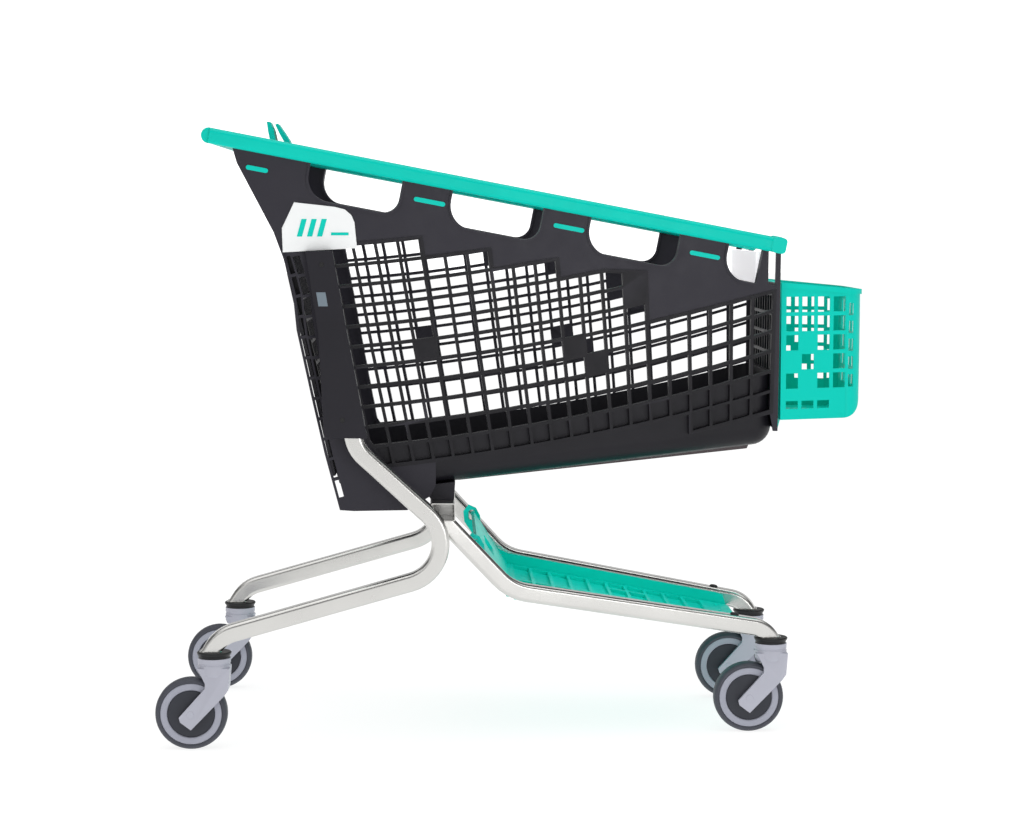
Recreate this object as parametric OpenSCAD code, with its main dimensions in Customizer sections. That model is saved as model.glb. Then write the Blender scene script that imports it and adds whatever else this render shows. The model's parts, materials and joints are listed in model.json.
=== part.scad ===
// Nesting shopping cart: steel tube chassis on four swivel casters, moulded tapered basket,
// top-hung rear gate, slatted lower tray and a small hand basket on the front wall.
// Frame: +X towards the front, +Y towards the left side, +Z up, floor at Z = 0.

/* [Casters] */
// Wheel diameter over the tyre
wheel_d = 125; // [118:1:128]
// Tyre width
wheel_w = 32; // [26:1:34]
// Distance the axle trails behind the swivel axis
trail = 40; // [36:1:44]
// Radius of the swivel head
head_r = 28.5; // [26:0.5:30]
// Radius of the wheel axle
axle_r = 4; // [3:0.5:5]
// Radius of the swivel stem
stem_r = 6; // [5:0.5:8]

/* [Chassis tubes] */
// Tube depth, seen from the side
tube_h = 31; // [26:1:34]
// Tube width, seen from the front
tube_w = 34; // [28:1:36]
// Tube wall thickness
tube_wall = 2; // [1.5:0.5:3]

/* [Basket] */
// Thickness of the solid side walls
shell_t = 5; // [3:0.5:6]
// Depth of the grille ribs
grille_t = 10; // [8:0.5:11]
// Width of the grille ribs, seen from the side
rib_w = 5.5; // [4:0.5:7]
// Thickness of the floor tub
tub_t = 4; // [3:0.5:5]

/* [Rails and handle] */
// Height of the side rails
rail_h = 27; // [24:1:28]
// Width of the side rails
rail_w = 28; // [24:1:28]

/* [Gate, tray and hand basket] */
// Thickness of the rear gate
gate_t = 8; // [6:0.5:9]
// Thickness of the lower tray's floor
tray_t = 4; // [3:0.5:5]
// Wall thickness of the front hand basket
bin_t = 3.5; // [2.5:0.5:4]

/* [Hidden] */
$fn = 64;

BLACK = "#26252C";
TEAL = "#00CDBB";
STEEL = "#D3D4D2";
GREY = "#B5B7C3";

big = 3000;                       // half-space size used for trimming cuts
seam = 0.3;                       // gap left between curved faces of different bodies
run_fit = 0.05;                   // radial clearance of a turning fit

// ---- caster positions -----------------------------------------------------------------
rear_stem = [-524, 275];          // swivel axis of a rear caster, distance from the middle
front_stem = [459, 156];          // swivel axis of a front caster
axle_z = wheel_d / 2;
head_top = 159;                   // top of the turning fork head
cap_top = 170;                    // top of the fixed dark cap, where the tube lands

// ---- side wall planes -----------------------------------------------------------------
wall_base = 170.1;                // half width of the wall plane at X = 0, Z = 0
wall_taper = 0.108;               // half width lost per mm towards the front
wall_draft = 0.08;                // half width gained per mm of height
taper_a = atan(wall_taper);
draft_a = atan(wall_draft * cos(taper_a));

function wall_y(x, z) = wall_base - wall_taper * x + wall_draft * z;

// A point seen from the side, [X, Z], laid out in the wall's own plane
function flat(p) =
    let (v = p[1] / cos(draft_a))
    [(p[0] - sin(taper_a) * sin(draft_a) * v) / cos(taper_a), v];

function flat_all(list) = [for (p = list) flat(p)];

// Puts a shape drawn in the wall's plane (x along, y inwards, z up) onto the right wall
module on_wall() {
    translate([0, -wall_base, 0])
        rotate([0, 0, taper_a])
            rotate([draft_a, 0, 0])
                children();
}

// Extrudes a side-view outline between two depths, measured inwards
module slab(from, to) {
    translate([0, to, 0])
        rotate([90, 0, 0])
            linear_extrude(to - from)
                children();
}

// The right-hand piece as it is, or its mirror image for the left side
module on_side(left) {
    mirror([0, left ? 1 : 0, 0])
        children();
}

module both_sides() {
    children();
    mirror([0, 1, 0])
        children();
}

module round_rect(w, h, r) {
    square([w - 2 * r, h], center = true);
    square([w, h - 2 * r], center = true);
    for (sx = [-1, 1], sy = [-1, 1])
        translate([sx * (w / 2 - r), sy * (h / 2 - r)])
            circle(r);
}

// ---- bent chassis tubes ---------------------------------------------------------------
// A route is a list of [X, Z] corners with one bend radius for each inner corner
rear_route = [[-303.5, 655], [-277, 520], [-62, 323], [-513, 196.5], [-535, 160]];
rear_bends = [60, 70, 60];
front_route = [[-172, 440], [-10, 266], [446.5, 186.3], [462, 157]];
front_bends = [90, 45];
leg_spread = 0.1413;              // half width gained per mm behind the front caster
leg_a = atan(leg_spread);
tube_y = rear_stem[1];
tube_r = 7;                       // outer corner radius of the tube section
corner_steps = 3;                 // flats round each corner of the section
bend_step = 7.5;                  // largest turn between two stations in a bend

function wrap(a) = a - 360 * round(a / 360);

function heading(route, i) =
    let (d = route[i + 1] - route[i])
    atan2(d[0], d[1]);

function bend_at(route, i) = wrap(heading(route, i) - heading(route, i - 1));

// Places along the route, each as [X, Z, heading]: both ends and steps round each bend
function bend_stations(route, bends, i) =
    let (bend = bend_at(route, i), h = heading(route, i - 1), r = sign(bend) * bends[i - 1])
    let (start = route[i] - abs(r * tan(bend / 2)) * [sin(h), cos(h)])
    let (centre = start + r * [cos(h), -sin(h)], steps = ceil(abs(bend) / bend_step))
    [for (k = [0:steps])
        let (a = h + bend * k / steps)
        [centre[0] - r * cos(a), centre[1] + r * sin(a), a]];

function stations(route, bends) =
    let (last = len(route) - 1)
    concat(
        [[route[0][0], route[0][1], heading(route, 0)]],
        [for (i = [1:last - 1]) for (s = bend_stations(route, bends, i)) s],
        [[route[last][0], route[last][1], heading(route, last - 1)]]
    );

// Outline of the tube section, g inside its outer face
function tube_ring(g) = [
    for (c = [0:3], i = [0:corner_steps])
        let (a = 90 * c + 90 * i / corner_steps, r = tube_r)
        let (u = (tube_h / 2 - r) * (c == 0 || c == 3 ? 1 : -1), v = (tube_w / 2 - r) * (c < 2 ? 1 : -1))
        [u + (r - g) * cos(a), v + (r - g) * sin(a)]
];

function ring_at(s, g) = [
    for (p = tube_ring(g)) [s[0] + p[0] * cos(s[2]), p[1], s[1] - p[0] * sin(s[2])]
];

// A closed tube wall through all stations
module bent_tube(route, bends) {
    places = stations(route, bends);
    n = 4 * (corner_steps + 1);
    last = len(places) - 1;
    inner = n * len(places);
    points = concat(
        [for (s = places) for (p = ring_at(s, 0)) p],
        [for (s = places) for (p = ring_at(s, tube_wall)) p]
    );
    faces = concat(
        [for (k = [0:last - 1], i = [0:n - 1])
            let (a = k * n + i, b = k * n + (i + 1) % n)
            [a, a + n, b + n, b]],
        [for (k = [0:last - 1], i = [0:n - 1])
            let (a = inner + k * n + i, b = inner + k * n + (i + 1) % n)
            [a, b, b + n, a + n]],
        [for (i = [0:n - 1])
            let (j = (i + 1) % n)
            [i, j, inner + j, inner + i]],
        [for (i = [0:n - 1])
            let (a = last * n + i, b = last * n + (i + 1) % n)
            [a, inner + a, inner + b, b]]
    );
    polyhedron(points = points, faces = faces, convexity = 8);
}

module above(z) {
    translate([-big / 2, -big / 2, z])
        cube([big, big, big]);
}

module below(z) {
    translate([-big / 2, -big / 2, z - big])
        cube([big, big, big]);
}

module frame_tube(left) {
    color(STEEL)
        on_side(left)
            difference() {
                translate([0, -tube_y, 0])
                    bent_tube(rear_route, rear_bends);
                below(cap_top);
            }
}

// The front leg lies in an upright plane that turns inwards towards the front caster
leg_points = [for (p = front_route) [(p[0] - front_stem[0]) / cos(leg_a), p[1]]];
cross_z = 392;                    // underside of the cross tube, where the front legs end
cross_x = [-150, -106];           // back and front face of the cross tube
cross_h = 32;

module front_leg(left) {
    color(STEEL)
        on_side(left)
            difference() {
                translate([front_stem[0], -front_stem[1], 0])
                    rotate([0, 0, leg_a])
                        bent_tube(leg_points, front_bends);
                below(cap_top);
                above(cross_z);
            }
}

module cross_tube() {
    half = tube_y - tube_w / 2;
    depth = cross_x[1] - cross_x[0];
    color(STEEL)
        translate([(cross_x[0] + cross_x[1]) / 2, half, cross_z + cross_h / 2])
            rotate([90, 0, 0])
                linear_extrude(2 * half)
                    difference() {
                        round_rect(depth, cross_h, 5);
                        round_rect(depth - 2 * tube_wall, cross_h - 2 * tube_wall, 3);
                    }
}

plug_x = -70;                     // distance of the plugs behind the front swivel axis

module leg_plugs() {
    d = leg_points[2] - leg_points[1];
    slope = atan2(d[1], d[0]);
    color(BLACK)
        both_sides()
            translate([front_stem[0], -front_stem[1], 0])
                rotate([0, 0, leg_a])
                    translate([plug_x, 0, leg_points[2][1] + (plug_x - leg_points[2][0]) * tan(slope)])
                        rotate([0, -slope, 0])
                            translate([0, 0, tube_h / 2])
                                rotate_extrude()
                                    polygon([[0, 0], [8, 0], [8, 1], [6, 3.5], [0, 3.5]]);
}

// ---- casters --------------------------------------------------------------------------
module at_stem(stem, left) {
    translate([stem[0], left ? stem[1] : -stem[1], 0])
        children();
}

module each_stem() {
    for (stem = [rear_stem, front_stem], left = [false, true])
        at_stem(stem, left)
            children();
}

stem_low = 131;                   // foot of the stem inside the fork head
stem_foot = 3;                    // free space under the stem's foot

module caster_stems() {
    color(STEEL)
        each_stem()
            translate([0, 0, stem_low + stem_foot])
                cylinder(r = stem_r, h = cap_top - stem_low - stem_foot);
}

module swivel_caps() {
    color("#2A2A2A")
        each_stem()
            rotate_extrude()
                polygon([
                    [stem_r, head_top + seam], [head_r - 1.5, head_top + seam],
                    [head_r - 1.5, head_top + 4], [head_r + 1, head_top + 7],
                    [head_r + 1.5, cap_top - 1.5], [head_r, cap_top], [stem_r, cap_top]
                ]);
}

fork_half = 24.5;                 // half width of the fork over its legs
pocket_half = wheel_w / 2 + 1.6;
pocket_r = wheel_d / 2 + 4;

module fork_outline() {
    difference() {
        polygon([
            [-head_r + 0.5, 143], [head_r - 0.5, 143], [25, 105], [17, 94],
            [-trail + 0.6, 36], [-trail - 18, 50], [-trail - 20, 58],
            [-15, 108], [-14.5, 117], [-25, 139]
        ]);
        translate([-trail - 30, 33])
            rotate(-39)
                square([22, 8]);
    }
}

module fork(stem, left) {
    color(GREY)
        at_stem(stem, left)
            difference() {
                union() {
                    rotate_extrude()
                        polygon([
                            [0, 128], [head_r - 3, 128], [head_r, 134], [head_r, 147],
                            [head_r - 1, 148], [head_r - 1, 150], [head_r, 151],
                            [head_r, head_top], [0, head_top]
                        ]);
                    translate([0, fork_half, 0])
                        rotate([90, 0, 0])
                            linear_extrude(2 * fork_half)
                                fork_outline();
                }
                translate([-trail, pocket_half, axle_z])
                    rotate([90, 0, 0])
                        cylinder(r = pocket_r, h = 2 * pocket_half);
                translate([0, 0, stem_low])
                    cylinder(r = stem_r + run_fit, h = head_top);
                translate([-trail, fork_half - 3, axle_z])
                    rotate([90, 0, 0])
                        cylinder(r = axle_r, h = 2 * (fork_half - 3));
            }
}

module axle(stem, left) {
    color(STEEL)
        at_stem(stem, left)
            translate([-trail, fork_half - 3, axle_z])
                rotate([90, 0, 0])
                    cylinder(r = axle_r, h = 2 * (fork_half - 3));
}

// A turned wheel piece from a half profile of [radius, offset from the middle plane]
module turned(stem, left, profile) {
    at_stem(stem, left)
        translate([-trail, 0, axle_z])
            rotate([90, 0, 0])
                rotate_extrude()
                    polygon(profile);
}

tyre_r = wheel_d / 2;
rim_r = 0.85 * tyre_r;
disc_r = 0.66 * tyre_r;

// Mirrors a half profile about the wheel's middle plane
function both_halves(half) =
    concat(half, [for (i = [len(half) - 1:-1:0]) [half[i][0], -half[i][1]]]);

module tyre(stem, left) {
    color("#50525C")
        turned(stem, left, both_halves([
            [rim_r, wheel_w / 2 - 2], [rim_r + 2, wheel_w / 2 - 0.5], [tyre_r - 5, wheel_w / 2 - 0.5],
            [tyre_r - 2, wheel_w / 2 - 3], [tyre_r - 0.5, wheel_w / 2 - 7], [tyre_r, wheel_w / 2 - 11]
        ]));
}

module rim(stem, left) {
    color("#A9ABB8")
        turned(stem, left, both_halves([
            [disc_r, wheel_w / 2 - 3], [disc_r + 1.5, wheel_w / 2 - 1.5],
            [rim_r - 1.5, wheel_w / 2 - 1.5], [rim_r, wheel_w / 2 - 2.5]
        ]));
}

module hub(stem, left) {
    color("#41434D")
        turned(stem, left, both_halves([
            [axle_r + run_fit, wheel_w / 2 + 0.6], [11, wheel_w / 2 + 0.6], [13, wheel_w / 2 - 3.5],
            [disc_r - 2, wheel_w / 2 - 3.5], [disc_r, wheel_w / 2 - 4.5]
        ]));
}

// ---- side grille ----------------------------------------------------------------------
// Uprights fan out from the leaning rear pillar; the rows rise and curve towards the front
col_first = -257.8;
col_pitch = 35.57;
col_ref = 541;                    // height at which the uprights are evenly pitched
lean_first = 0.187;
lean_end = 19;                    // upright that stands straight
row_base = 515.4;
row_pitch = 35.4;
row_slope = 0.152;
row_curve = 0.00013;
last_col = 20;
rim_out = 4;                      // how far the border reaches past its grid line
grille_out = 1.5;                 // how far the grille stands outside the wall plane

function lean(k) = lean_first * (1 - k / lean_end);
function col_x(k, z) = col_first + col_pitch * k - lean(k) * (z - col_ref);
function row_z(j, x) = row_base + row_pitch * j + row_slope * x + row_curve * x * x;

// Crossing of upright k with row line j, from two rounds of substitution
function knot(k, j) =
    let (x0 = col_x(k, row_z(j, col_x(k, col_ref))))
    let (x1 = col_x(k, row_z(j, x0)))
    [x1, row_z(j, x1)];

// Number of open rows over the bottom line in column k: the stepped top edge
function top_row(k) = k < 4 ? 11 : k < 7 ? 10 : k < 10 ? 9 : k < 14 ? 8 : 5;
function low_row(k) = k >= 16 ? -1 : 0;

peak_col = 12.1;
peak_drop = 7.5;                  // row line reached by the sloping top at upright 14

// A knot pushed outwards by dx and dz times the border's reach
function edge(k, j, dx, dz, m) = knot(k, j) + [dx * m, dz * m];

function grille_edge(m) = concat(
    [edge(0, 1.35, -1, 0, m), edge(0, 11, -1, 1, m)],
    [for (k = [1:3]) edge(k, 11, 0, 1, m)],
    [edge(4, 11, 1, 1, m), edge(4, 10, 1, 1, m)],
    [for (k = [5:6]) edge(k, 10, 0, 1, m)],
    [edge(7, 10, 1, 1, m), edge(7, 9, 1, 1, m)],
    [for (k = [8:9]) edge(k, 9, 0, 1, m)],
    [edge(10, 9, 1, 1, m), edge(10, 8, 1, 1, m), edge(11, 8, 0, 1, m)],
    [edge(peak_col, 8, 0, 1, m), edge(14, peak_drop, 1, 1, m), edge(14, 5, 1, 1, m)],
    [for (k = [15:last_col - 1]) edge(k, 5, 0, 1, m)],
    [edge(last_col, 5, 1, 1, m), edge(last_col, -1, 1, -1, m)],
    [for (k = [last_col - 1:-1:17]) edge(k, -1, 0, -1, m)],
    [edge(16, -1, -1, -1, m), edge(16, 0, -1, -1, m)],
    [for (k = [15:-1:1]) edge(k, 0, 0, -1, m)],
    [edge(0.6, 0, -0.5, -1, m)]
);

// Cells that are moulded shut, as [column, row]
blind = [[3, 5], [10, 4], [11, 3], [13, 6], [13, 7]];

function is_blind(k, j) = len([for (b = blind) if (b[0] == k && b[1] == j) b]) > 0;

module cell(k, j) {
    r = rib_w / 2;
    polygon(flat_all([
        knot(k, j) + [r, r], knot(k + 1, j) + [-r, r],
        knot(k + 1, j + 1) + [-r, -r], knot(k, j + 1) + [r, -r]
    ]));
}

module grille_cells() {
    for (k = [0:last_col - 1])
        for (j = [low_row(k):top_row(k) - 1])
            if (!is_blind(k, j))
                cell(k, j);
}

module side_grille(left) {
    color(BLACK)
        on_side(left)
            on_wall()
                slab(-grille_out, grille_t - grille_out)
                    difference() {
                        polygon(flat_all(grille_edge(rim_out)));
                        intersection() {
                            grille_cells();
                            polygon(flat_all(grille_edge(-rib_w / 2)));
                        }
                    }
}

// ---- rail line and hand openings ------------------------------------------------------
rail_slope = -0.19;
rail_low = 943.5;                 // underside of the rail at X = 0
rail_a = atan(rail_slope);
rail_mid = rail_low + rail_h / 2;
rail_back = -521;
rail_front = 467;

function under_rail(x) = rail_low + rail_slope * x;

// Each hand opening: X at its left and right edge in side view, radius of its lower right corner
openings = [[-351, -193, 27], [-109, 50, 27], [131, 290, 27], [374, 435, 2]];
opening_depth = 60;
left_r = 42;

// One opening below the rail, grown by g all round
module opening(span, g) {
    w = (span[1] - span[0]) / cos(rail_a) + 2 * g;
    d = opening_depth + g;
    rl = left_r + g;
    rr = span[2] + g;
    translate(flat([span[0], under_rail(span[0])]))
        rotate(rail_a)
            translate([-g, -d]) {
                translate([0, rl])
                    square([w, d - rl + 12]);
                translate([rl, 0])
                    square([w - rl - rr, d + 12]);
                intersection() {
                    translate([rl, rl])
                        circle(rl);
                    square([rl + 1, rl + 1]);
                }
                translate([w - rr, rr])
                    circle(rr);
                translate([rl, rr])
                    square([w - rl, rl]);
            }
}

// ---- solid side shell -----------------------------------------------------------------
back_edge = [
    [-482, under_rail(-482)], [-475, 1010], [-415, 893], [-399, 848], [-384, 792],
    [-378, 725], [-353, 604], [-332, 508], [-307, 410]
];
shell_edge = concat(back_edge, [
    [-283, 408], [-190, 408], [-150, 432], [-140, 452], [-140, 600], [452, 600],
    [452, 575], [459, 540], [rail_front, 540], [rail_front, under_rail(rail_front)]
]);

// Pockets of the ribbed strip between the back edge and the pillar, one for each grid row
function back_x(z) = lookup(-z, [for (p = back_edge) [-p[1], p[0]]]);
pocket_low = 430;
pocket_count = 12;
pocket_rib = 5;

pocket_spans = [[5, 13], [17, 29]];  // two columns, measured from the back edge

module strip_pocket(i) {
    z0 = pocket_low + i * row_pitch + pocket_rib / 2;
    z1 = z0 + row_pitch - pocket_rib;
    for (span = pocket_spans)
        if (i > 2 || span[0] < 10)
            polygon(flat_all([
                [back_x(z0) + span[0], z0 - 1], [back_x(z0) + span[1], z0 + 1],
                [back_x(z1) + span[1], z1 + 1], [back_x(z1) + span[0], z1 - 1]
            ]));
}

module post_gap() {
    polygon(flat_all([
        [445, under_rail(445) + 12], [458, under_rail(458) + 12],
        [458, under_rail(458) - 58], [445, under_rail(445) - 58]
    ]));
}

module shell_top_cut() {
    polygon(flat_all([
        [-600, under_rail(-600)], [600, under_rail(600)], [600, 1200], [-600, 1200]
    ]));
}

module side_shell(left) {
    color(BLACK)
        on_side(left)
            on_wall() {
                slab(0, shell_t)
                    difference() {
                        polygon(flat_all(shell_edge));
                        polygon(flat_all(grille_edge(rim_out)));
                        for (span = openings)
                            opening(span, 0);
                        for (i = [0:pocket_count - 1])
                            strip_pocket(i);
                        post_gap();
                    }
                for (span = openings)
                    slab(-2, ring_in)
                        difference() {
                            opening(span, 4);
                            opening(span, 0);
                            shell_top_cut();
                        }
            }
}

// ---- rails, handle and trim -----------------------------------------------------------
module rail_bar() {
    start = flat([rail_back, rail_mid + rail_slope * rail_back]);
    end = flat([rail_front, rail_mid + rail_slope * rail_front]);
    d = end - start;
    translate([start[0], 4, start[1]])
        rotate([0, -atan2(d[1], d[0]), 0]) {
            rotate([90, 0, 90])
                linear_extrude(norm(d))
                    round_rect(rail_w, rail_h - 0.6, 8);
            rotate([90, 0, 0])
                cylinder(r = rail_h / 2 - 0.3, h = rail_w - 12, center = true);
            translate([norm(d) - 6, rail_w / 2 + 1, 0.8])
                rotate([90, 0, 0])
                    linear_extrude(rail_w + 2)
                        round_rect(26, rail_h + 1, 7);
        }
}

module rail(left) {
    color(TEAL)
        on_side(left)
            on_wall()
                rail_bar();
}

handle_r = 12.5;
handle_z = rail_mid + rail_slope * rail_back;

module handle_bar() {
    color(TEAL)
        difference() {
            translate([rail_back, 0, handle_z])
                rotate([90, 0, 0])
                    cylinder(r = handle_r, h = 592, center = true);
            both_sides()
                on_wall()
                    rail_bar();
        }
}

// Inlaid marks between the hand openings, in side view
inserts = [[-441.5, 1000], [-149.5, 945], [91.5, 900], [331, 852.5]];

module slot_inserts(left) {
    color(TEAL)
        on_side(left)
            on_wall()
                for (i = [0:len(inserts) - 1])
                    translate([flat(inserts[i])[0], 0, flat(inserts[i])[1]])
                        rotate([0, -rail_a, 0])
                            slab(-1.2, 0)
                                round_rect(i == 0 ? 38 : 55, 8, 3.9);
}

side_plate_edge = [
    [-380, 944], [-312, 936.5], [-294, 932], [-283, 922], [-278, 910],
    [-274, 866], [-400, 859], [-401, 900]
];

module side_plate(left) {
    color("white")
        on_side(left)
            on_wall() {
                slab(-4, -1.5)
                    polygon(flat_all(side_plate_edge));
                slab(-1.5, 0)
                    difference() {
                        polygon(flat_all(side_plate_edge));
                        polygon(flat_all(grille_edge(rim_out + 0.5)));
                        polygon(flat_all([[-420, 880], [-250, 880], [-250, 850], [-420, 850]]));
                    }
            }
}

// Generic mark: two leaning bars and a plain line
module plate_mark(left) {
    color(TEAL)
        on_side(left)
            on_wall()
                slab(-4.8, -4) {
                    for (i = [0:2])
                        translate(flat([-376 + 17 * i, 886]))
                            polygon([[0, 0], [9, 0], [17, 30], [8, 30]]);
                    translate(flat([-318, 888]))
                        square([30, 5]);
                }
}

// ---- rear pillar ----------------------------------------------------------------------
pillar_out = tube_y + tube_w / 2 + 3.5;
pillar_edge = [[-361, 861], [-340, 723], [-331, 542], [-257.5, 540], [-291, 723], [-315, 861]];
pillar_skin = 2.5;

// The cover's hollow: narrower by g, closed at the top and open below
function pull_in(list, g) =
    let (mid = (list[1][0] + list[4][0]) / 2)
    [for (p = list) [p[0] + (p[0] < mid ? g : -g), p[1] > 800 ? p[1] - g : p[1] < 600 ? p[1] - 20 : p[1]]];

// Everything inwards of a plane that lies gap outside the wall plane
module inside_of(gap) {
    on_wall()
        translate([-big / 2, -gap, -big / 2])
            cube([big, big, big]);
}

module pillar_cover(left) {
    color(BLACK)
        on_side(left)
            difference() {
                translate([0, -pillar_out, 0])
                    slab(0, 70)
                        polygon(pillar_edge);
                translate([0, -pillar_out + pillar_skin, 0])
                    slab(0, 80)
                        polygon(pull_in(pillar_edge, pillar_skin));
                inside_of(grille_out);
            }
}

module pillar_labels() {
    color("#7F8C96")
        both_sides()
            translate([0, -pillar_out - 0.8, 0])
                slab(0, 0.8)
                    polygon([[-343, 791], [-327, 791], [-323, 767], [-339, 767]]);
}

// ---- floor tub ------------------------------------------------------------------------
tub_in = 9.2;                     // the tub stands this far inside the wall plane
tub_r = 36;                       // radius of its lower edges
tub_back = -296;
tub_front = 459;

tub_rise = 0.107;                 // the floor rises towards the front

function tub_low(x) = 453 + tub_rise * (x + 133);

// Underside of the tub between its lower edges
function tub_under(x) = tub_low(x) - tub_r * (1 / cos(atan(tub_rise)) - 1);

module tub_corner(x, z, r) {
    for (s = [-1, 1])
        translate([x, s * (wall_y(x, z) - tub_in - tub_r), z])
            sphere(r, $fn = 32);
}

module tub_solid(r) {
    back = tub_back - 60;
    front = tub_front - tub_r;
    hull() {
        tub_corner(back, tub_low(back) + tub_r, r);
        tub_corner(front, tub_low(front) + tub_r, r);
        tub_corner(back, 700, r);
        tub_corner(front, 760, r);
    }
}

module floor_tub() {
    lip = [for (k = [0:2:last_col]) knot(k, 1) - [0, 3]];
    color(BLACK)
        difference() {
            tub_solid(tub_r);
            tub_solid(tub_r - tub_t);
            translate([0, -big / 2, 0])
                slab(0, big)
                    polygon(concat(
                        [[-400, row_z(1, -300) - 3]], lip,
                        [[600, row_z(1, 460)], [600, 1000], [-400, 1000]]
                    ));
            translate([tub_back - big, -big / 2, 0])
                cube([big, big, big]);
        }
}

runner_x = [-100, 424];
runner_h = 8.5;

module floor_runners() {
    color("#3A2A30")
        for (s = [-1, 1])
            translate([0, s * 95 - 8, 0])
                slab(0, 16)
                    polygon([
                        [runner_x[0], tub_under(runner_x[0]) - runner_h],
                        [runner_x[1] - 4, tub_under(runner_x[1] - 4) - runner_h],
                        [runner_x[1], tub_under(runner_x[1])], [runner_x[0], tub_under(runner_x[0])]
                    ]);
}

module floor_saddles() {
    color(BLACK)
        both_sides()
            translate([0, -205, 0])
                slab(0, 70)
                    polygon([
                        [-158, 438], [-148, cross_z + cross_h], [-108, cross_z + cross_h],
                        [-106, tub_under(-106)], [-171, tub_under(-171)], [-171, 441]
                    ]);
}

// ---- front wall -----------------------------------------------------------------------
front_x = 459.5;
front_t = 7.5;
grille_in = 8.8;                  // inner face of the side grille, measured from the wall plane
front_low = 545;
front_top = 792;
front_rows = 6;
front_cols = 10;

function front_half(z) = wall_y(front_x, z) - grille_in;

// Right-view outlines, [Y, Z], extruded along X
module across(from, to) {
    translate([from, 0, 0])
        rotate([90, 0, 90])
            linear_extrude(to - from)
                children();
}

function front_y(i, z) = front_half(z) * (2 * i / front_cols - 1) * 0.95;

module front_grille() {
    r = rib_w / 2;
    step = 35;
    color(BLACK)
        across(front_x, front_x + front_t)
            difference() {
                polygon([
                    [-front_half(front_low), front_low], [front_half(front_low), front_low],
                    [front_half(front_top), front_top], [front_half(front_top) - 18, front_top + 10],
                    [18 - front_half(front_top), front_top + 10], [-front_half(front_top), front_top]
                ]);
                for (i = [0:front_cols - 1], j = [0:front_rows - 1]) {
                    z0 = 572 + j * step;
                    z1 = z0 + step;
                    polygon([
                        [front_y(i, z0) + r, z0 + r], [front_y(i + 1, z0) - r, z0 + r],
                        [front_y(i + 1, z1) - r, z1 - r], [front_y(i, z1) + r, z1 - r]
                    ]);
                }
            }
}

panel_x = [424, 434];             // back and front face of the display panel
ring_in = 12;                     // how deep the hand openings' frames are
tab_x = openings[3][1] + 4.5;     // the panel's tabs reach the wall in front of that frame

// Panel behind the last hand opening, held at the walls by a tab on each side
module display_panel() {
    color("#DAD7DB")
        difference() {
            union() {
                across(panel_x[0], panel_x[1])
                    polygon([[-200, 803], [200, 803], [200, 858], [-200, 858]]);
                both_sides()
                    across(panel_x[1], tab_x + 4)
                        polygon([[-200, 815], [-160, 815], [-160, 845], [-200, 845]]);
            }
            both_sides() {
                difference() {
                    translate([0, -big / 2, 0])
                        cube([2 * big, big, 2 * big], center = true);
                    inside_of(-shell_t);
                }
                on_wall()
                    slab(-50, ring_in + 0.4)
                        polygon(flat_all([[300, 700], [tab_x, 700], [tab_x, 1000], [300, 1000]]));
            }
        }
}

// ---- rear gate ------------------------------------------------------------------------
pivot = [-421, 1000];
gate_a = 11.9;                    // the closed gate leans forward by this angle
gate_len = 560;
gate_top_half = 280;
gate_narrowing = 0.1357;          // half width lost per mm below the pivot
pin_r = 4;
knuckle_r = 9;
gate_rows = 13;
gate_cols = 14;

function gate_half(d) = gate_top_half - gate_narrowing * d;

// Local frame of the gate: origin on the hinge, y across, -z down the gate
module on_gate() {
    translate([pivot[0], 0, pivot[1]])
        rotate([0, -gate_a, 0])
            children();
}

function gate_y(i, d) = (gate_half(d) - 10) * (2 * i / gate_cols - 1);
function gate_d(j) = 36 + j * (gate_len - 62) / gate_rows;

module rear_gate() {
    r = rib_w / 2;
    color(BLACK)
        on_gate()
            difference() {
                union() {
                    across(-gate_t / 2, gate_t / 2)
                        difference() {
                            polygon([
                                [-gate_half(0), 0], [gate_half(0), 0],
                                [gate_half(gate_len - 22), -gate_len + 22],
                                [gate_half(gate_len) - 20, -gate_len],
                                [20 - gate_half(gate_len), -gate_len],
                                [-gate_half(gate_len - 22), -gate_len + 22]
                            ]);
                            for (i = [0:gate_cols - 1], j = [0:gate_rows - 1]) {
                                d0 = gate_d(j);
                                d1 = gate_d(j + 1);
                                polygon([
                                    [gate_y(i, d0) + r, -d0 - r], [gate_y(i + 1, d0) - r, -d0 - r],
                                    [gate_y(i + 1, d1) - r, -d1 + r], [gate_y(i, d1) + r, -d1 + r]
                                ]);
                            }
                        }
                    rotate([90, 0, 0])
                        cylinder(r = knuckle_r, h = 2 * gate_half(0), center = true);
                }
                rotate([90, 0, 0])
                    cylinder(r = pin_r + run_fit, h = 700, center = true);
            }
}

module hinge_pin() {
    half = wall_y(pivot[0], pivot[1]) - shell_t - 1;
    color(STEEL)
        translate([pivot[0], 0, pivot[1]])
            rotate([90, 0, 0])
                cylinder(r = pin_r, h = 2 * half, center = true);
}

beam_x = [-439, -405];
beam_z = [1010, 1020];

module rear_beam() {
    color(BLACK)
        difference() {
            translate([0, -300, 0])
                slab(0, 600)
                    polygon([
                        [beam_x[0], beam_z[0]], [beam_x[1], beam_z[0]],
                        [beam_x[1], beam_z[1] - 4], [beam_x[1] - 3, beam_z[1]],
                        [beam_x[0] + 3, beam_z[1]], [beam_x[0], beam_z[1] - 4]
                    ]);
            both_sides()
                difference() {
                    translate([0, -big / 2, 0])
                        cube([2 * big, big, 2 * big], center = true);
                    inside_of(-shell_t);
                }
        }
}

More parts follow.
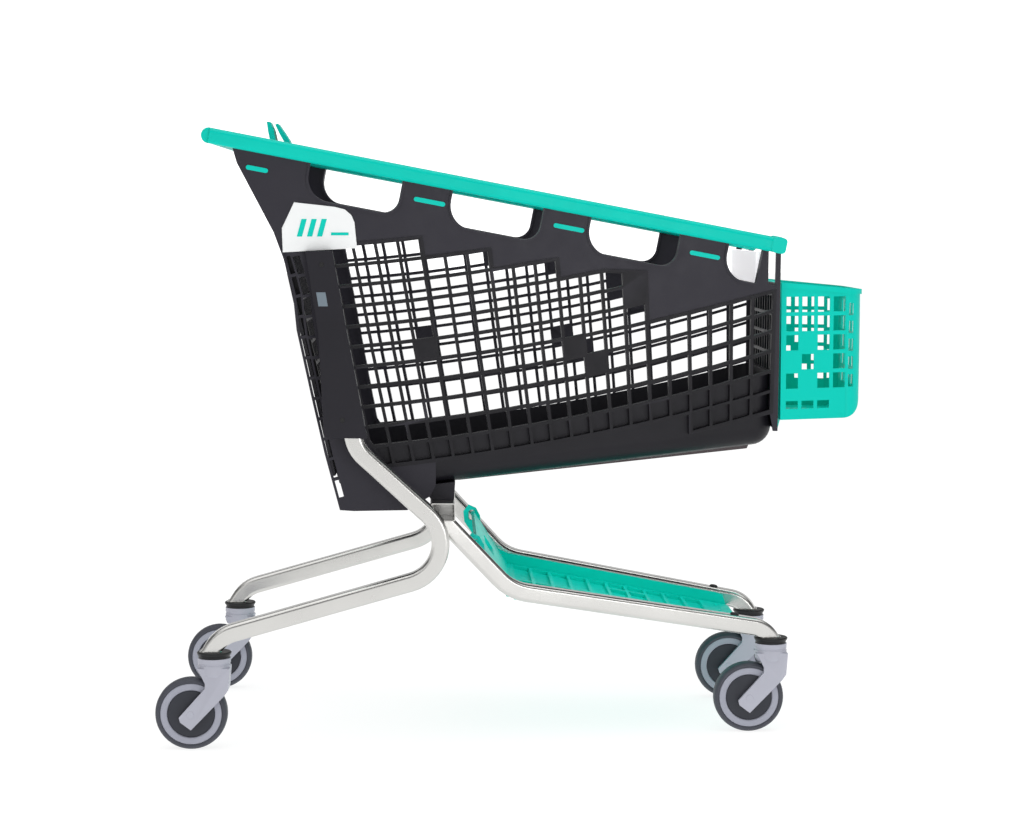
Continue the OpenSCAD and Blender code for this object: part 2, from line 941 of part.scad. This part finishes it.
// Two sprung blades that hold a shopping list over the beam
module note_clip() {
    half = 32;
    color(TEAL)
        translate([0, -half, 0])
            slab(0, 2 * half)
                polygon([
                    [-435, beam_z[1]], [-409, beam_z[1]], [-399, 1046], [-403, 1057],
                    [-414, 1074], [-423, 1087], [-428, 1085], [-420, 1068], [-411, 1052],
                    [-413, beam_z[1] + 6], [-424, beam_z[1] + 5], [-426, 1054], [-431, 1076],
                    [-437, 1090], [-443, 1090], [-441, 1074], [-437, 1054]
                ]);
}

// Strips inside the back edge that the closed gate leans on
module gate_stop(left) {
    rest = -gate_t / 2 - seam;
    color(BLACK)
        on_side(left)
            intersection() {
                on_gate()
                    translate([rest - 5.5, -320, -540])
                        cube([5.5, 320, 430]);
                on_wall()
                    translate([-big / 2, shell_t, -big / 2])
                        cube([big, 36, big]);
            }
}

// ---- lower tray -----------------------------------------------------------------------
tray_slope = -0.175;
tray_a = atan(tray_slope);
tray_level = 212;                 // height of the deck at X = tray_mid
tray_mid = 237;
tray_rear = -12;
tray_front = 422;
tray_cells = 10;
tray_span = [4, 369];             // where the row of slots starts and ends
tray_deep = 9;                    // depth of the deck under its top
tray_skin = 2.5;                  // thickness left under the pockets
tray_drop = 1;                    // the margins lie this far below the deck
tray_margin = 14;
tray_up = 19;                     // height of the side walls over the deck

function tray_z(x) = tray_level + tray_slope * (x - tray_mid);
function leg_inside(x) = front_stem[1] + leg_spread * (front_stem[0] - x) - (tube_w / 2) / cos(leg_a) - 0.1;

// Plan of the space between the legs, less a margin on each side
module tray_plan(x0, x1, margin) {
    polygon([
        [x0, margin - leg_inside(x0)], [x1, margin - leg_inside(x1)],
        [x1, leg_inside(x1) - margin], [x0, leg_inside(x0) - margin]
    ]);
}

// The same pocket on each side of the middle rib
module tray_slot(x0, x1, from, to) {
    for (s = [-1, 1])
        polygon([[x0, s * from], [x1, s * from], [x1, s * (to - leg_spread * (x1 - x0))], [x0, s * to]]);
}

module tray_floor() {
    pitch = (tray_span[1] - tray_span[0]) / tray_cells;
    difference() {
        union() {
            translate([0, 0, -tray_t])
                linear_extrude(tray_t)
                    tray_plan(tray_rear, tray_front, tray_margin);
            translate([0, 0, -tray_t])
                linear_extrude(tray_t - tray_drop)
                    tray_plan(tray_rear - 4, tray_front, 1);
            translate([0, 0, -tray_deep])
                linear_extrude(tray_deep - tray_drop)
                    tray_plan(tray_span[0] - 5, tray_span[1] + 5, 12);
        }
        translate([0, 0, tray_skin - tray_deep])
            linear_extrude(2 * tray_deep)
                for (i = [0:tray_cells - 1]) {
                    x0 = tray_span[0] + i * pitch + 3;
                    x1 = x0 + pitch - 6;
                    far = leg_inside(x0) - 22;
                    split = i == 5 || i == 6;
                    tray_slot(x0, x1, 5, split ? 85 : far);
                    if (split)
                        tray_slot(x0, x1, 93, far);
                }
        translate([0, 0, -2 * tray_deep])
            linear_extrude(3 * tray_deep)
                for (y = [-110, -40, 40, 110])
                    translate([tray_front - 26, y])
                        circle(4);
    }
}

// Side wall with the loop at its rear end, in side view
tray_wall_edge = [
    [12, tray_z(12) - tray_t], [410, tray_z(410) - tray_t], [416, tray_z(416) - 1],
    [410, tray_z(410) + 17], [398, tray_z(398) + tray_up], [0, tray_z(0) + tray_up],
    [-25, 285], [-46, 308], [-52, 330], [-53, 345], [-61, 360], [-75, 366], [-85, 353],
    [-83, 333], [-66, 308], [-34, 276], [-12, 258]
];
ramp_edge = [[-12, 252], [-4, 250], [-6, 257], [-68, 355], [-73, 352], [-14, 259]];

module lower_tray() {
    color(TEAL) {
        translate([0, 0, tray_z(0)])
            rotate([0, -tray_a, 0])
                tray_floor();
        difference() {
            intersection() {
                translate([0, -300, 0])
                    slab(0, 600)
                        polygon(ramp_edge);
                linear_extrude(500)
                    tray_plan(-100, 20, 1);
            }
            across(-100, 0)
                translate([0, 315])
                    round_rect(120, 26, 12);
        }
        both_sides()
            translate([front_stem[0], -front_stem[1], 0])
                rotate([0, 0, leg_a])
                    translate([-front_stem[0] / cos(leg_a), tube_w / 2 + 0.1, 0])
                        slab(0, tray_t)
                            difference() {
                                polygon([for (p = tray_wall_edge) [p[0] / cos(leg_a), p[1]]]);
                                translate([-69 / cos(leg_a), 346])
                                    round_rect(12, 20, 5);
                            }
    }
}

// ---- front hand basket ----------------------------------------------------------------
bin_back = 471;
bin_front = 623.5;
bin_half_back = 168;
bin_half_front = 122;
bin_low = 560;
bin_top = 804;                    // height of the rim at the back
bin_slope = -0.09;               // the rim drops towards the front
bin_corner = 30;
bin_rim = 3;                      // how far the rim stands out

// Plan outline, g inside the outer face
module bin_plan(g) {
    hb = bin_half_back - g;
    hf = bin_half_front - g;
    r = bin_corner - g;
    x1 = bin_front - bin_corner;
    polygon([[bin_back + g, -hb], [x1, -hf], [x1, hf], [bin_back + g, hb]]);
    polygon([[x1, -hf], [x1 + r, r - hf], [x1 + r, hf - r], [x1, hf]]);
    for (s = [-1, 1])
        translate([x1, s * (hf - r)])
            circle(r);
}

// Side outline, g inside the outer face, cut off at the rim
module bin_profile(g, up) {
    r = bin_corner - g;
    x1 = bin_front - bin_corner;
    polygon([
        [bin_back - 10, bin_low + g], [x1 - 5, bin_low + g], [x1, bin_low + g + 1],
        [bin_front - g - 3, bin_low + g + r], [bin_front - g, bin_top - 30],
        [bin_front - g, bin_rim_z(bin_front) + up], [bin_back - 10, bin_rim_z(bin_back - 10) + up]
    ]);
    translate([x1 - 3.5, bin_low + g + r])
        circle(r);
}

function bin_rim_z(x) = bin_top + bin_slope * (x - bin_back);

module bin_body(g, up) {
    intersection() {
        translate([0, 0, bin_low - 20])
            linear_extrude(bin_top - bin_low + 100)
                bin_plan(g);
        translate([0, -300, 0])
            slab(0, 600)
                bin_profile(g, up);
    }
}

bin_pitch = [29.7, 34];
bin_cell = [22.5, 27];
bin_first = [481, 615];           // lower back corner of the first cell
bin_blind = [[1, 2], [2, 1], [0, 1], [1, 0]];

function bin_is_blind(i, j) = len([for (b = bin_blind) if (b[0] == i && b[1] == j) b]) > 0;

module bin_windows() {
    translate([0, -300, 0])
        slab(0, 600) {
            for (i = [0:3], j = [0:4])
                if (!bin_is_blind(i, j))
                    translate(bin_first + [i * bin_pitch[0], j * bin_pitch[1]])
                        square(bin_cell);
            for (i = [0:2])
                translate([bin_first[0] + i * bin_pitch[0], 579])
                    square([bin_cell[0], 14]);
            for (j = [0:4])
                translate([bin_first[0] + 4 * bin_pitch[0] - 1, bin_first[1] + 1 + j * bin_pitch[1] * 0.94])
                    square([9, 22]);
        }
    across(bin_front - bin_corner, bin_front + bin_corner)
        for (i = [-2:2], j = [0:4])
            translate([i * bin_pitch[1] - bin_cell[0] / 2, bin_first[1] + j * bin_pitch[1] * 0.94])
                square([bin_cell[0], bin_cell[1] - 3]);
}

module front_basket() {
    rim_depth = 9;
    color(TEAL) {
        difference() {
            union() {
                bin_body(0, 0);
                intersection() {
                    bin_plan_block(-bin_rim);
                    translate([0, -300, 0])
                        slab(0, 600)
                            polygon([
                                [bin_back, bin_rim_z(bin_back)], [bin_back, bin_rim_z(bin_back) - rim_depth],
                                [650, bin_rim_z(650) - rim_depth], [650, bin_rim_z(650)]
                            ]);
                }
            }
            bin_body(bin_t, 60);
            bin_windows();
        }
        difference() {
            across(bin_back - 4, bin_back + 2)
                polygon([
                    [-120, 541], [120, 541], [150, bin_low], [bin_half_back - 1, bin_top - 1],
                    [1 - bin_half_back, bin_top - 1], [-150, bin_low]
                ]);
            across(bin_back - 10, bin_back + 10)
                for (i = [-4:4], j = [0:5])
                    translate([i * bin_pitch[1] - 13, 585 + j * bin_pitch[1]])
                        square([26, 26]);
        }
    }
}

module bin_plan_block(g) {
    translate([0, 0, bin_low])
        linear_extrude(bin_top - bin_low + 10)
            bin_plan(g);
}

frame_tube(false);  // frame_tube_right
frame_tube(true);  // frame_tube_left
front_leg(false);  // front_leg_right
front_leg(true);  // front_leg_left
cross_tube();
floor_saddles();
caster_stems();
swivel_caps();
leg_plugs();
side_shell(false);  // side_shell_right
side_shell(true);  // side_shell_left
side_grille(false);  // side_grille_right
side_grille(true);  // side_grille_left
gate_stop(false);  // gate_stop_right
gate_stop(true);  // gate_stop_left
pillar_cover(false);  // pillar_cover_right
pillar_cover(true);  // pillar_cover_left
floor_tub();
floor_runners();
front_grille();
display_panel();
rear_beam();
note_clip();
rail(false);  // rail_right
rail(true);  // rail_left
handle_bar();
slot_inserts(false);  // slot_inserts_right
slot_inserts(true);  // slot_inserts_left
side_plate(false);  // side_plate_right
side_plate(true);  // side_plate_left
plate_mark(false);  // plate_mark_right
plate_mark(true);  // plate_mark_left
pillar_labels();
hinge_pin();
rear_gate();
lower_tray();
front_basket();
fork(rear_stem, false);  // fork_rear_right
fork(rear_stem, true);  // fork_rear_left
fork(front_stem, false);  // fork_front_right
fork(front_stem, true);  // fork_front_left
axle(rear_stem, false);  // axle_rear_right
axle(rear_stem, true);  // axle_rear_left
axle(front_stem, false);  // axle_front_right
axle(front_stem, true);  // axle_front_left
hub(rear_stem, false);  // hub_rear_right
hub(rear_stem, true);  // hub_rear_left
hub(front_stem, false);  // hub_front_right
hub(front_stem, true);  // hub_front_left
rim(rear_stem, false);  // rim_rear_right
rim(rear_stem, true);  // rim_rear_left
rim(front_stem, false);  // rim_front_right
rim(front_stem, true);  // rim_front_left
tyre(rear_stem, false);  // tyre_rear_right
tyre(rear_stem, true);  // tyre_rear_left
tyre(front_stem, false);  // tyre_front_right
tyre(front_stem, true);  // tyre_front_left
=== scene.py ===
"""Looks for the nesting shopping cart: materials, small moulded details, studio and camera."""

import json
import math

import bmesh
import bpy
from mathutils import Matrix, Vector


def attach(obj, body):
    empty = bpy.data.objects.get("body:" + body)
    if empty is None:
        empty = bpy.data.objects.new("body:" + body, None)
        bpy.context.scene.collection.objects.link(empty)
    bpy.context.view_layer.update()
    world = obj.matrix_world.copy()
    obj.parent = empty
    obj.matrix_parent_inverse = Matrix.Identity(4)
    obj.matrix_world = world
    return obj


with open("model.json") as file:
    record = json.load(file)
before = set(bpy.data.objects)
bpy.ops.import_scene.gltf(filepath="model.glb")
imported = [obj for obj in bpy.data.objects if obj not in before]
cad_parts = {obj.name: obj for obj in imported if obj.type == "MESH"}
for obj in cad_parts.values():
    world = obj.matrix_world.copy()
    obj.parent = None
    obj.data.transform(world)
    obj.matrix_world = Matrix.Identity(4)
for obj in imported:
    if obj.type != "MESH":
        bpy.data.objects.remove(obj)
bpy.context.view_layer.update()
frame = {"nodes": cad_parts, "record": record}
NODES = frame["nodes"]
SCENE = bpy.context.scene
SCENE.view_settings.view_transform = "Standard"

# The sign of each side's Y
SIDES = {"right": -1, "left": 1}
WHITE = (1, 1, 1, 1)


# ---------------------------------------------------------------- materials

# Sockets of a Mix node that blends colours
MIX_FACTOR, MIX_FIRST, MIX_SECOND, MIX_RESULT = 0, 6, 7, 2


class Tree:
    """The node tree of a material or a world, with short calls for the nodes used here."""

    def __init__(self, owner):
        owner.use_nodes = True
        self.tree = owner.node_tree

    def node(self, kind, inputs=None, **settings):
        made = self.tree.nodes.new(kind)
        for key, value in settings.items():
            setattr(made, key, value)
        for key, value in (inputs or {}).items():
            self.put(made.inputs[key], value)
        return made

    def put(self, socket, value):
        if isinstance(value, bpy.types.NodeSocket):
            self.tree.links.new(value, socket)
        else:
            socket.default_value = value

    def blend(self, factor, first, second):
        inputs = {MIX_FACTOR: factor, MIX_FIRST: first, MIX_SECOND: second}
        return self.node("ShaderNodeMix", inputs, data_type="RGBA").outputs[MIX_RESULT]


class Graph(Tree):
    """A material, built up from textures in each object's own space."""

    def __init__(self, name):
        self.material = bpy.data.materials.new(name)
        super().__init__(self.material)
        self.shader = self.tree.nodes["Principled BSDF"]
        self.place = self.node("ShaderNodeTexCoord").outputs["Object"]

    def noise(self, scale, detail=3.0, rough=0.5, stretch=None):
        place = self.place
        if stretch:
            place = self.node("ShaderNodeMapping", {"Vector": place, "Scale": stretch}).outputs[0]
        inputs = {"Vector": place, "Scale": scale, "Detail": detail, "Roughness": rough}
        return self.node("ShaderNodeTexNoise", inputs).outputs["Fac"]

    def spread(self, value, low, high, start=0.3, end=0.7):
        """Maps a texture's value, from start to end, onto a range."""
        inputs = {"Value": value, "From Min": start, "From Max": end, "To Min": low, "To Max": high}
        return self.node("ShaderNodeMapRange", inputs).outputs[0]

    def bump(self, height, distance, strength=1.0, below=None):
        inputs = {"Height": height, "Distance": distance, "Strength": strength}
        if below:
            inputs["Normal"] = below
        return self.node("ShaderNodeBump", inputs).outputs[0]

    def edges(self):
        """Near 1 on outward edges, near 0 on flats and in grooves."""
        point = self.node("ShaderNodeNewGeometry").outputs["Pointiness"]
        return self.spread(point, 0.0, 1.0, start=0.52, end=0.62)

    def finish(self, **values):
        for key, value in values.items():
            self.put(self.shader.inputs[key.replace("_", " ")], value)
        return self.material


def rgb(code):
    """A colour written as six hex digits, as linear RGBA."""

    def linear(c):
        return c / 12.92 if c <= 0.04045 else ((c + 0.055) / 1.055) ** 2.4

    return (*[linear(int(code[i : i + 2], 16) / 255) for i in (0, 2, 4)], 1.0)


def tint(colour, share):
    """The same colour lighter (share above 1) or darker."""
    return (*[min(1.0, c * share) for c in colour[:3]], 1.0)


def moulded(name, code, rough, grain, variation=0.08, painted_edge_highlight=1.25, gloss=0.5):
    """Injection-moulded plastic: fine grain, faint mottling, and outward edges lightened as a
    painted highlight.
    """
    g = Graph(name)
    base = rgb(code)
    mottle = g.spread(g.noise(scale=14, detail=4), 0, 1)
    colour = g.blend(mottle, tint(base, 1 - variation), tint(base, 1 + variation))
    smudge = g.noise(scale=38, detail=5, rough=0.6)
    fine = g.bump(g.noise(scale=1500, detail=2), grain)
    return g.finish(
        # Outward edges take a lighter colour here: a painted highlight along the rims.
        Base_Color=g.blend(g.edges(), colour, tint(base, painted_edge_highlight)),
        Roughness=g.spread(smudge, rough - 0.05, rough + 0.07),
        Normal=g.bump(g.noise(scale=9, detail=2), 0.0008, strength=0.35, below=fine),
        Specular_IOR_Level=gloss,
    )


def bright_tube(name, code, rough):
    """Plated steel tube: drawn lines too fine to see singly, faint cloudy gloss."""
    g = Graph(name)
    base = rgb(code)
    cloud = g.spread(g.noise(scale=7), 0, 1)
    lines = g.noise(scale=900, detail=2, stretch=(0.06, 1, 1))
    return g.finish(
        Base_Color=g.blend(cloud, tint(base, 0.97), tint(base, 1.02)),
        Roughness=g.spread(g.noise(scale=26, detail=4), rough - 0.03, rough + 0.04),
        Normal=g.bump(lines, 0.00003),
        Metallic=1.0,
    )


def rubber(name, code):
    """Solid rubber: matt, with dusty scuffs."""
    g = Graph(name)
    base = rgb(code)
    dust = g.spread(g.noise(scale=60, detail=5, rough=0.7), 0, 1, start=0.42, end=0.75)
    return g.finish(
        Base_Color=g.blend(dust, base, tint(base, 1.35)),
        Roughness=g.spread(g.noise(scale=120), 0.5, 0.68),
        Normal=g.bump(g.noise(scale=700), 0.00015),
    )


def printed(name, code, rough=0.35, painted_glow=0.0):
    """A smooth printed sheet; glow is a painted glow, emission standing in for the light that a
    frosted one passes on from behind.
    """
    g = Graph(name)
    base = rgb(code)
    return g.finish(
        Base_Color=g.blend(g.spread(g.noise(scale=30), 0, 1), tint(base, 0.97), base),
        Roughness=g.spread(g.noise(scale=50), rough - 0.05, rough + 0.06),
        Normal=g.bump(g.noise(scale=260, detail=2), 0.00008),
        Emission_Color=base,
        # Emission here is a painted glow: the sheet is no lamp.
        Emission_Strength=painted_glow,
    )


# In each moulding the edge share lightens the outward edges as a painted highlight; the black is
# lightened most.
LOOKS = {
    "bright_tube": bright_tube("tube_steel", "D3D2CF", rough=0.24),
    "steel": bright_tube("bar_steel", "C9C9C9", rough=0.34),
    "black_plastic": moulded(
        "black_moulding", "17161B", rough=0.38, grain=0.00012, variation=0.12, painted_edge_highlight=3.2, gloss=0.22
    ),
    "teal_plastic": moulded(
        "teal_moulding", "00CFBD", rough=0.36, grain=0.00006, variation=0.04, painted_edge_highlight=1.06, gloss=0.12
    ),
    "cap_plastic": moulded("cap_moulding", "1C1C1D", rough=0.42, grain=0.0001, gloss=0.3),
    "fork_grey": moulded(
        "fork_moulding", "B4B5C1", rough=0.44, grain=0.0001, variation=0.05, painted_edge_highlight=1.12, gloss=0.35
    ),
    "hub_dark": moulded("hub_moulding", "31333B", rough=0.45, grain=0.0001, painted_edge_highlight=1.2, gloss=0.35),
    "wheel_grey": moulded(
        "wheel_moulding", "A6A8B5", rough=0.44, grain=0.00008, variation=0.05, painted_edge_highlight=1.1, gloss=0.35
    ),
    "tyre": rubber("tyre_rubber", "40424B"),
    "white_card": printed("plate_white", "FBFDFD"),
    # The pale panel is given a painted glow, emission for the light passed through it.
    "pale_panel": printed("panel_pale", "F7F5F8", rough=0.5, painted_glow=0.5),
    "label": printed("label_blue", "74828D"),
    "runner": moulded("runner_moulding", "2C1920", rough=0.3, grain=0.00006),
    "rubber": rubber("stopper_rubber", "1C1C1E"),
}

SLOTS = {p["node"]: p["material_slot"] for p in frame["record"]["subparts"]}

# The width of the rounded edges, by the start of the node's name, in metres; 0 for none.
# The tubes' own corners are round already.
ROUNDING = {
    "frame_tube": 0,
    "front_leg": 0,
    "floor_tub": 0.001,
    "side_grille": 0.0007,
    "rear_gate": 0.0007,
    "front_grille": 0.0007,
    "side_shell": 0.0009,
    "lower_tray": 0.0008,
    "front_basket": 0.0007,
    "rail": 0.0012,
    "fork": 0.0012,
}
ROUNDING_ELSEWHERE = 0.0005
ROUNDING_STEPS = 2
CREASE = math.radians(35)
NEARLY_FLAT = math.radians(0.4)
WELD_GAP = 0.00002


def dress(obj, slot):
    obj.data.materials.clear()
    obj.data.materials.append(LOOKS[slot])


def soften(obj, width):
    """Rounds a CAD node's edges with modifiers; its own mesh stays as it is."""
    obj.data.shade_smooth()
    weld = obj.modifiers.new("weld", "WELD")
    weld.merge_threshold = WELD_GAP
    flat = obj.modifiers.new("flat", "DECIMATE")
    flat.decimate_type = "DISSOLVE"
    flat.angle_limit = NEARLY_FLAT
    if width:
        bevel = obj.modifiers.new("round", "BEVEL")
        bevel.width = width
        bevel.segments = ROUNDING_STEPS
        bevel.limit_method = "ANGLE"
        bevel.angle_limit = CREASE
        bevel.use_clamp_overlap = True
    split = obj.modifiers.new("split", "EDGE_SPLIT")
    split.split_angle = CREASE
    obj.modifiers.new("flats", "WEIGHTED_NORMAL")


for name, obj in NODES.items():
    dress(obj, SLOTS[name])
    widths = [width for start, width in ROUNDING.items() if name.startswith(start)]
    soften(obj, widths[0] if widths else ROUNDING_ELSEWHERE)


# ---------------------------------------------------------------- small details

DETAIL_CREASE = math.radians(40)

# At each end, for the left side: the X and Y of the caster's stem, those of the middle of the
# tube's landing on the caster's cap, and the tube's turn about the vertical
STEMS = {"rear": (-0.524, 0.275), "front": (0.459, 0.156)}
LANDINGS = {"rear": (-0.529, 0.275), "front": (0.4555, 0.1565)}
LEG_SPREAD = 0.1413
TURNS = {"rear": 0.0, "front": -math.atan(LEG_SPREAD)}
CAP_TOP = 0.170

# The weld bead round each landing: its loop, its height over the cap, its radius and its ripples
BEAD_HALF_X, BEAD_HALF_Y, BEAD_CORNER = 0.0178, 0.0172, 0.007
BEAD_LIFT = 0.0008
BEAD_RADIUS = 0.0014
RIPPLE_SHARE, RIPPLE_TURN = 0.22, 1.9

# The screws in each pillar cover: their X and Z, their head and the recess in it
SCREWS = ((-0.3335, 0.838), (-0.2995, 0.572))
HEAD = {"radius": 0.0042, "height": 0.0012, "steps": 32, "crown": 0.0006}
HEAD_Y = 0.2953
RECESS = {"radius": 0.0018, "height": 0.0004, "steps": 6}
RECESS_Y = 0.2963

# The axle's place behind its stem and over the floor, the fork's outer face and the cap on it
TRAIL = 0.040
AXLE_Z = 0.0625
FORK_FACE = 0.0243
AXLE_CAP = {"radius": 0.0065, "height": 0.0009, "crown": 0.0006}


def add_piece(name, bm, slot, body):
    """Makes an object from bm, in the row frame, and lets it ride on a body."""
    bmesh.ops.recalc_face_normals(bm, faces=bm.faces)
    mesh = bpy.data.meshes.new(name)
    bm.to_mesh(mesh)
    bm.free()
    mesh.shade_smooth()
    obj = bpy.data.objects.new(name, mesh)
    SCENE.collection.objects.link(obj)
    dress(obj, slot)
    split = obj.modifiers.new("split", "EDGE_SPLIT")
    split.split_angle = DETAIL_CREASE
    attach(obj, body)


def circle(radius, steps):
    """Points round a circle, each as its two coordinates."""
    angles = [2 * math.pi * i / steps for i in range(steps)]
    return [(radius * math.cos(a), radius * math.sin(a)) for a in angles]


def band(bm, low, high):
    """Faces between two rings of vertices."""
    for i in range(len(low)):
        j = (i + 1) % len(low)
        bm.faces.new((low[i], low[j], high[j], high[i]))


def add_disc(bm, centre, axis, radius, height, steps=40, crown=0.0):
    """A round button: its base at centre, its top slightly narrower by crown."""
    turn = Vector(axis).to_track_quat("Z", "Y").to_matrix().to_4x4()
    rings = []
    for level, r in ((0.0, radius), (height - crown, radius), (height, radius - crown)):
        places = [turn @ Vector((x, y, level)) + Vector(centre) for x, y in circle(r, steps)]
        rings.append([bm.verts.new(place) for place in places])
    for low, high in zip(rings, rings[1:]):
        band(bm, low, high)
    bm.faces.new(list(reversed(rings[0])))
    bm.faces.new(rings[-1])


def weld_bead(bm, points, radius, steps=8):
    """A rippled bead of weld metal along a closed loop of points."""
    rings = []
    for i, p in enumerate(points):
        ahead = (points[(i + 1) % len(points)] - points[i - 1]).normalized()
        side = ahead.cross(Vector((0, 0, 1))).normalized()
        up = side.cross(ahead)
        r = radius * (1 + RIPPLE_SHARE * math.cos(i * RIPPLE_TURN))
        rings.append([bm.verts.new(p + side * u + up * v) for u, v in circle(r, steps)])
    for i, ring in enumerate(rings):
        band(bm, ring, rings[(i + 1) % len(rings)])


def rounded_loop(half_x, half_y, radius, centre, turn, per_side=9, per_corner=5):
    """Points round a rounded rectangle in the level plane, turned about the vertical."""
    points = []
    corners = [(1, 1, 0), (-1, 1, 90), (-1, -1, 180), (1, -1, 270)]
    for sx, sy, start in corners:
        for k in range(per_corner):
            a = math.radians(start + 90 * k / (per_corner - 1))
            x = sx * (half_x - radius) + radius * math.cos(a)
            y = sy * (half_y - radius) + radius * math.sin(a)
            points.append(Vector((x, y, 0)))
    dense = []
    for p, q in zip(points, points[1:] + points[:1]):
        # A corner's short steps are left whole, and the straight sides are cut up
        straight = (q - p).length > 0.8 * radius
        cuts = per_side if straight else 1
        dense += [p.lerp(q, k / cuts) for k in range(cuts)]
    spin = Matrix.Rotation(turn, 3, "Z")
    return [spin @ p + Vector(centre) for p in dense]


def weld_collars():
    for end, (x, y) in LANDINGS.items():
        for side, s in SIDES.items():
            centre = (x, s * y, CAP_TOP + BEAD_LIFT)
            loop = rounded_loop(BEAD_HALF_X, BEAD_HALF_Y, BEAD_CORNER, centre, s * TURNS[end])
            bm = bmesh.new()
            weld_bead(bm, loop, BEAD_RADIUS)
            add_piece(f"collar_{end}_{side}", bm, "bright_tube", "chassis")


def cover_screws():
    """Two countersunk screws in each pillar cover."""
    for side, s in SIDES.items():
        for i, (x, z) in enumerate(SCREWS):
            bm = bmesh.new()
            add_disc(bm, (x, s * HEAD_Y, z), (0, s, 0), **HEAD)
            add_disc(bm, (x, s * RECESS_Y, z), (0, s, 0), **RECESS)
            add_piece(f"cover_screw_{side}_{i}", bm, "cap_plastic", "chassis")


def axle_caps():
    """A shallow pressed cap over each end of each axle, on the fork's outer faces."""
    for end, (x, y) in STEMS.items():
        for side, s in SIDES.items():
            bm = bmesh.new()
            for face in (-1, 1):
                centre = (x - TRAIL, s * y + face * FORK_FACE, AXLE_Z)
                add_disc(bm, centre, (0, face, 0), **AXLE_CAP)
            add_piece(f"axle_cap_{end}_{side}", bm, "fork_grey", f"caster_{end}_{side}")


weld_collars()
cover_screws()
axle_caps()


# ---------------------------------------------------------------- studio

FLOOR_CENTRE = (0, 6, 0)
FLOOR_HALF = 30
FLOOR_GREYS = ((0.27, 0.27, 0.27, 1), (0.29, 0.29, 0.29, 1))
FLOOR_GLOW = 0.84

# Brightness of the studio by height over the horizon (0 level, 1 straight up)
SKY = [(0.0, 0.76), (0.22, 0.72), (0.36, 0.14), (0.62, 0.12), (0.74, 0.9), (1.0, 1.5)]

# Each light's place, the point it faces, its width and height, and its power in watts
LIGHTS = {
    "overhead": ((0.3, -0.4, 3.6), (0, 0, 0.5), (3.2, 2.6), 20),
    "key": ((-2.6, -3.0, 2.6), (0, 0, 0.6), (1.6, 2.2), 10),
    "fill": ((0.9, -2.6, 0.62), (0.15, 0.1, 0.25), (1.2, 0.5), 7),
    "under_basket": ((0.2, 0.0, 0.44), (0.2, 0.0, 0.2), (0.42, 0.24), 0.6),
}
UNSEEN_LIGHTS = ("under_basket",)

# The camera's place, its two turns in degrees, its lens and sensor in millimetres, and how far
# it sees
CAMERA_PLACE = (-0.1328, -4.4386, 0.9172)
CAMERA_DOWN, CAMERA_RIGHT = 4.739, 1.712
CAMERA_LENS, CAMERA_SENSOR = 85.25, 36
CAMERA_REACH = 200


def floor():
    """A wide floor that glows enough to meet the white background and still shows shadows."""
    g = Graph("studio_floor")
    look = g.finish(
        Base_Color=g.blend(g.noise(scale=3, detail=2), *FLOOR_GREYS),
        Roughness=0.7,
        Specular_IOR_Level=0.0,
        Emission_Color=WHITE,
        Emission_Strength=FLOOR_GLOW,
    )
    bm = bmesh.new()
    bmesh.ops.create_grid(bm, x_segments=2, y_segments=2, size=FLOOR_HALF)
    mesh = bpy.data.meshes.new("floor")
    bm.to_mesh(mesh)
    bm.free()
    mesh.materials.append(look)
    obj = bpy.data.objects.new("floor", mesh)
    obj.location = FLOOR_CENTRE
    SCENE.collection.objects.link(obj)


def surroundings():
    """A soft studio that lights the cart, with a plain white background behind it."""
    world = bpy.data.worlds.new("studio")
    t = Tree(world)
    way = t.node("ShaderNodeTexCoord").outputs["Generated"]
    height = t.node("ShaderNodeSeparateXYZ", {"Vector": way}).outputs["Z"]
    ramp = t.node("ShaderNodeValToRGB", {"Fac": height})
    stops = ramp.color_ramp.elements
    while len(stops) < len(SKY):
        stops.new(0.5)
    top = max(value for _, value in SKY)
    for stop, (place, value) in zip(stops, SKY):
        stop.position = place
        stop.color = (value / top, value / top, value / top, 1)
    seen = t.node("ShaderNodeLightPath").outputs["Is Camera Ray"]
    back = t.tree.nodes["Background"]
    t.put(back.inputs["Color"], t.blend(seen, ramp.outputs["Color"], WHITE))
    t.put(back.inputs["Strength"], top)
    SCENE.world = world


def area_light(name, place, target, size, power):
    data = bpy.data.lights.new(name, "AREA")
    data.shape = "RECTANGLE"
    data.size, data.size_y = size
    data.energy = power
    obj = bpy.data.objects.new(name, data)
    obj.location = place
    obj.rotation_euler = (Vector(target) - Vector(place)).to_track_quat("-Z", "Y").to_euler()
    SCENE.collection.objects.link(obj)
    return obj


def camera():
    """Seen from the cart's right, about 4.4 m away and looking slightly down."""
    data = bpy.data.cameras.new("camera")
    data.lens = CAMERA_LENS
    data.sensor_width = CAMERA_SENSOR
    data.clip_end = CAMERA_REACH
    obj = bpy.data.objects.new("camera", data)
    obj.location = CAMERA_PLACE
    obj.rotation_euler = (math.radians(90 - CAMERA_DOWN), 0, -math.radians(CAMERA_RIGHT))
    SCENE.collection.objects.link(obj)
    SCENE.camera = obj


floor()
surroundings()
for name, setting in LIGHTS.items():
    light = area_light(name, *setting)
    if name in UNSEEN_LIGHTS:
        light.visible_camera = False
        light.visible_glossy = False
camera()
